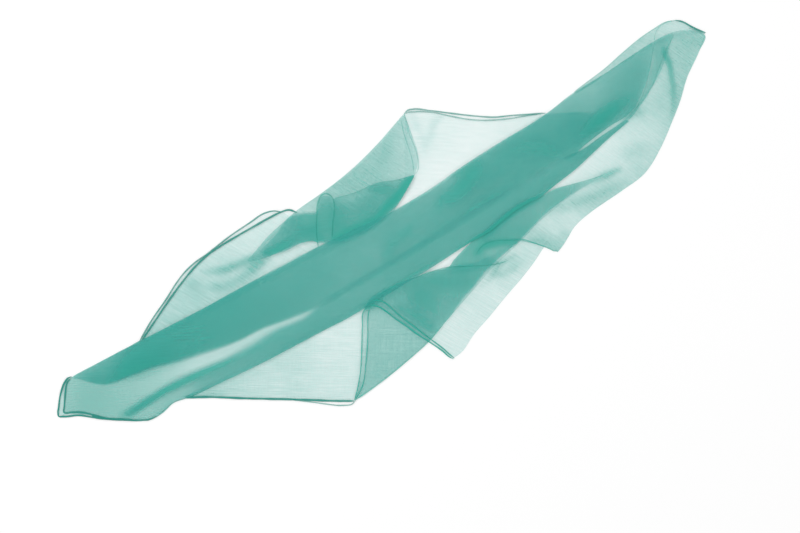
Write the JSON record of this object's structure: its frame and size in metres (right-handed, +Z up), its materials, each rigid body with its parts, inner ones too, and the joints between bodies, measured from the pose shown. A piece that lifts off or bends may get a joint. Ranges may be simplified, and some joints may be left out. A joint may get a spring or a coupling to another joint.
{
  "type": "sarong",
  "caption": "Sheer hemmed sarong lying flat: a long diagonal roll of soft folds with thin see-through panels fanned out along both sides.",
  "frame": {"origin": "middle of the whole cloth's plan, on the surface it lies on", "axes": "+X along the length of the doubled cloth, +Y along its width, +Z up from the surface"},
  "size_m": [0.9, 0.5544, 0.0119],
  "materials": {
    "cloth_many_layers": "matte",
    "cloth_folded": "matte",
    "cloth_sheer": "matte"
  },
  "bodies": {
    "root": {"body_band": "cloth_many_layers", "left_end": "cloth_folded", "lower_left_panel": "cloth_sheer", "wedge_fold": "cloth_folded", "lower_flap": "cloth_sheer", "upper_flap": "cloth_sheer", "left_fan": "cloth_sheer", "upper_left_pleat": "cloth_folded", "top_flag": "cloth_sheer", "right_end": "cloth_sheer"}
  },
  "joints": []
}
